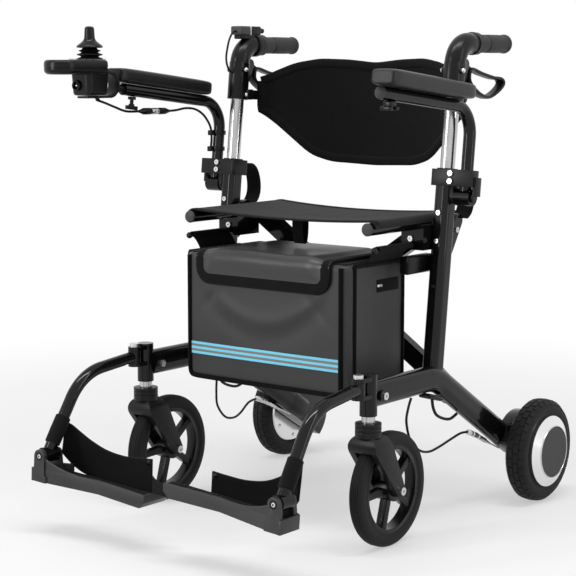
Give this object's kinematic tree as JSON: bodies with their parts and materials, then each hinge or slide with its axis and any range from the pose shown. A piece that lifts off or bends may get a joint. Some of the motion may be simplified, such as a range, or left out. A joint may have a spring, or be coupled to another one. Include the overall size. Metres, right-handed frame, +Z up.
{
  "type": "rollator transport chair",
  "caption": "Folding wheeled chair with push handles, brake levers, fabric seat and back, flip-back arms, swing-away footrests, hub-motor rear wheels and a joystick.",
  "frame": {"origin": "on the floor, under the middle of the bounding box", "axes": "+Z up, the rider faces -Y, the left side of the chair is +X"},
  "size_m": [0.676, 0.8508, 0.8933],
  "materials": {
    "frame_black": "gloss",
    "fork_black": "satin",
    "bright_steel": "polished",
    "post_silver": "polished",
    "hub_chrome": "polished",
    "cap_grey": "satin",
    "tyre_black": "matte",
    "grip_rubber": "textured",
    "clamp_plastic": "satin",
    "shell_plastic": "satin",
    "control_grey": "satin",
    "plate_plastic": "moulded",
    "pad_vinyl": "satin",
    "seat_fabric": "woven",
    "back_mesh": "mesh",
    "strap_web": "webbing",
    "bag_vinyl": "coated",
    "cable_black": "smooth",
    "boot_rubber": "matte"
  },
  "bodies": {
    "left_frame": {"side_frame_left": "frame_black", "frame_bolts_left": "bright_steel", "brake_housing_left": "frame_black", "rear_cables_left": "cable_black", "belt_strap_left": "strap_web", "arm_clamp_left": "clamp_plastic", "battery_case": "shell_plastic", "bag_body": "bag_vinyl"},
    "left_caster": {"caster_fork_left": "fork_black", "caster_axle_left": "bright_steel"},
    "left_caster_wheel": {"caster_rim_left": "shell_plastic", "caster_tyre_left": "tyre_black"},
    "left_rear_wheel": {"rear_tyre_left": "tyre_black", "hub_motor_left": "hub_chrome", "hub_cap_left": "cap_grey"},
    "left_handle": {"handle_post_left": "post_silver", "handle_elbow_left": "shell_plastic", "hand_grip_left": "grip_rubber", "backrest": "back_mesh"},
    "left_brake_lever": {"brake_lever_left": "clamp_plastic"},
    "left_arm": {"arm_tube_left": "frame_black", "arm_pad_left": "pad_vinyl"},
    "left_hanger": {"footrest_hanger_left": "frame_black", "heel_strap_left": "strap_web"},
    "left_footplate": {"footplate_left": "plate_plastic"},
    "right_frame": {"side_frame_right": "frame_black", "frame_bolts_right": "bright_steel", "brake_housing_right": "frame_black", "rear_cables_right": "cable_black", "belt_strap_right": "strap_web", "arm_clamp_right": "clamp_plastic"},
    "right_caster": {"caster_fork_right": "fork_black", "caster_axle_right": "bright_steel"},
    "right_caster_wheel": {"caster_rim_right": "shell_plastic", "caster_tyre_right": "tyre_black"},
    "right_rear_wheel": {"rear_tyre_right": "tyre_black", "hub_motor_right": "hub_chrome", "hub_cap_right": "cap_grey"},
    "right_handle": {"handle_post_right": "post_silver", "handle_elbow_right": "shell_plastic", "hand_grip_right": "grip_rubber", "control_box": "control_grey"},
    "right_brake_lever": {"brake_lever_right": "clamp_plastic"},
    "right_arm": {"arm_tube_right": "frame_black", "arm_pad_right": "pad_vinyl", "joystick_mount": "clamp_plastic", "joystick_housing": "shell_plastic", "joystick_boot": "boot_rubber", "joystick_cable": "cable_black"},
    "right_hanger": {"footrest_hanger_right": "frame_black", "heel_strap_right": "strap_web"},
    "right_footplate": {"footplate_right": "plate_plastic"},
    "brace_a": {"cross_brace_left": "frame_black", "brace_pin": "bright_steel", "seat_sling": "seat_fabric"},
    "brace_b": {"cross_brace_right": "frame_black"},
    "flap": {"bag_flap": "bag_vinyl"},
    "stick_ring": {"joystick_gimbal": "bright_steel"},
    "stick": {"joystick_stick": "shell_plastic"},
    "button": {"control_button": "shell_plastic"}
  },
  "joints": [
    {"name": "fold", "type": "hinge", "parent": "left_frame", "child": "brace_a", "pos_m": [0.212, 0.113, 0.262], "axis": [0, 1, 0], "range_deg": [0, 42], "deforming": ["seat_sling", "backrest", "bag_body", "bag_flap", "heel_strap_left", "heel_strap_right"]},
    {"name": "brace_scissor", "type": "hinge", "parent": "brace_a", "child": "brace_b", "pos_m": [0, 0.124, 0.40521], "axis": [0, 1, 0], "range_deg": [-84, 0]},
    {"name": "right_frame_fold", "type": "hinge", "parent": "brace_b", "child": "right_frame", "pos_m": [-0.212, 0.135, 0.262], "axis": [0, 1, 0], "range_deg": [0, 42]},
    {"name": "left_caster_swivel", "type": "hinge", "parent": "left_frame", "child": "left_caster", "pos_m": [0.254, -0.156, 0.24], "axis": [0, 0, 1], "continuous": true},
    {"name": "left_caster_spin", "type": "hinge", "parent": "left_caster", "child": "left_caster_wheel", "pos_m": [0.254, -0.098, 0.1], "axis": [1, 0, 0], "continuous": true},
    {"name": "left_wheel_spin", "type": "hinge", "parent": "left_frame", "child": "left_rear_wheel", "pos_m": [0.304, 0.331, 0.097], "axis": [1, 0, 0], "continuous": true},
    {"name": "left_handle_slide", "type": "slide", "parent": "left_frame", "child": "left_handle", "axis": [0, 0.1115, 0.9938], "range_m": [-0.1, 0]},
    {"name": "left_lever_pull", "type": "hinge", "parent": "left_handle", "child": "left_brake_lever", "pos_m": [0.246, 0.13472, 0.81998], "axis": [1, 0, 0], "range_deg": [-12, 18], "stiffness_Nm_per_rad": 6},
    {"name": "left_arm_flip", "type": "hinge", "parent": "left_frame", "child": "left_arm", "pos_m": [0.287, 0.08578, 0.59], "axis": [-1, 0, 0], "range_deg": [0, 90]},
    {"name": "left_footrest_swing", "type": "hinge", "parent": "left_frame", "child": "left_hanger", "pos_m": [0.254, -0.185, 0.2865], "axis": [0, 0, 1], "range_deg": [0, 90]},
    {"name": "left_plate_flip", "type": "hinge", "parent": "left_hanger", "child": "left_footplate", "pos_m": [0.26216, -0.39753, 0.14071], "axis": [0, 1, 0], "range_deg": [0, 90], "deforming": ["heel_strap_left"]},
    {"name": "right_caster_swivel", "type": "hinge", "parent": "right_frame", "child": "right_caster", "pos_m": [-0.254, -0.156, 0.24], "axis": [0, 0, 1], "continuous": true},
    {"name": "right_caster_spin", "type": "hinge", "parent": "right_caster", "child": "right_caster_wheel", "pos_m": [-0.254, -0.098, 0.1], "axis": [1, 0, 0], "continuous": true},
    {"name": "right_wheel_spin", "type": "hinge", "parent": "right_frame", "child": "right_rear_wheel", "pos_m": [-0.304, 0.331, 0.097], "axis": [1, 0, 0], "continuous": true},
    {"name": "right_handle_slide", "type": "slide", "parent": "right_frame", "child": "right_handle", "axis": [0, 0.1115, 0.9938], "range_m": [-0.1, 0]},
    {"name": "right_lever_pull", "type": "hinge", "parent": "right_handle", "child": "right_brake_lever", "pos_m": [-0.246, 0.13472, 0.81998], "axis": [1, 0, 0], "range_deg": [-12, 18], "stiffness_Nm_per_rad": 6},
    {"name": "right_arm_flip", "type": "hinge", "parent": "right_frame", "child": "right_arm", "pos_m": [-0.287, 0.08578, 0.59], "axis": [-1, 0, 0], "range_deg": [0, 90]},
    {"name": "right_footrest_swing", "type": "hinge", "parent": "right_frame", "child": "right_hanger", "pos_m": [-0.254, -0.185, 0.2865], "axis": [0, 0, -1], "range_deg": [0, 90]},
    {"name": "right_plate_flip", "type": "hinge", "parent": "right_hanger", "child": "right_footplate", "pos_m": [-0.26216, -0.39753, 0.14071], "axis": [0, -1, 0], "range_deg": [0, 90], "deforming": ["heel_strap_right"]},
    {"name": "flap_lift", "type": "hinge", "parent": "left_frame", "child": "flap", "pos_m": [0, 0.0515, 0.4813], "axis": [-1, 0, 0], "range_deg": [0, 15]},
    {"name": "stick_fore_aft", "type": "hinge", "parent": "right_arm", "child": "stick_ring", "pos_m": [-0.292, -0.25115, 0.82052], "axis": [1, 0, 0], "range_deg": [-18, 18], "stiffness_Nm_per_rad": 0.6, "deforming": ["joystick_boot"]},
    {"name": "stick_sideways", "type": "hinge", "parent": "stick_ring", "child": "stick", "pos_m": [-0.292, -0.25115, 0.82052], "axis": [0, 1, 0], "range_deg": [-18, 18], "stiffness_Nm_per_rad": 0.6, "deforming": ["joystick_boot"]},
    {"name": "button_press", "type": "slide", "parent": "right_handle", "child": "button", "axis": [0, -1, 0], "range_m": [0, 0.004], "stiffness_N_per_m": 400}
  ],
  "couplings": [
    {"joint": "brace_scissor", "follows": "fold", "ratio": -2},
    {"joint": "right_frame_fold", "follows": "fold", "ratio": 1},
    {"joint": "left_plate_flip", "follows": "fold", "ratio": 2.1429},
    {"joint": "right_plate_flip", "follows": "fold", "ratio": 2.1429},
    {"joint": "right_handle_slide", "follows": "left_handle_slide", "ratio": 1}
  ]
}
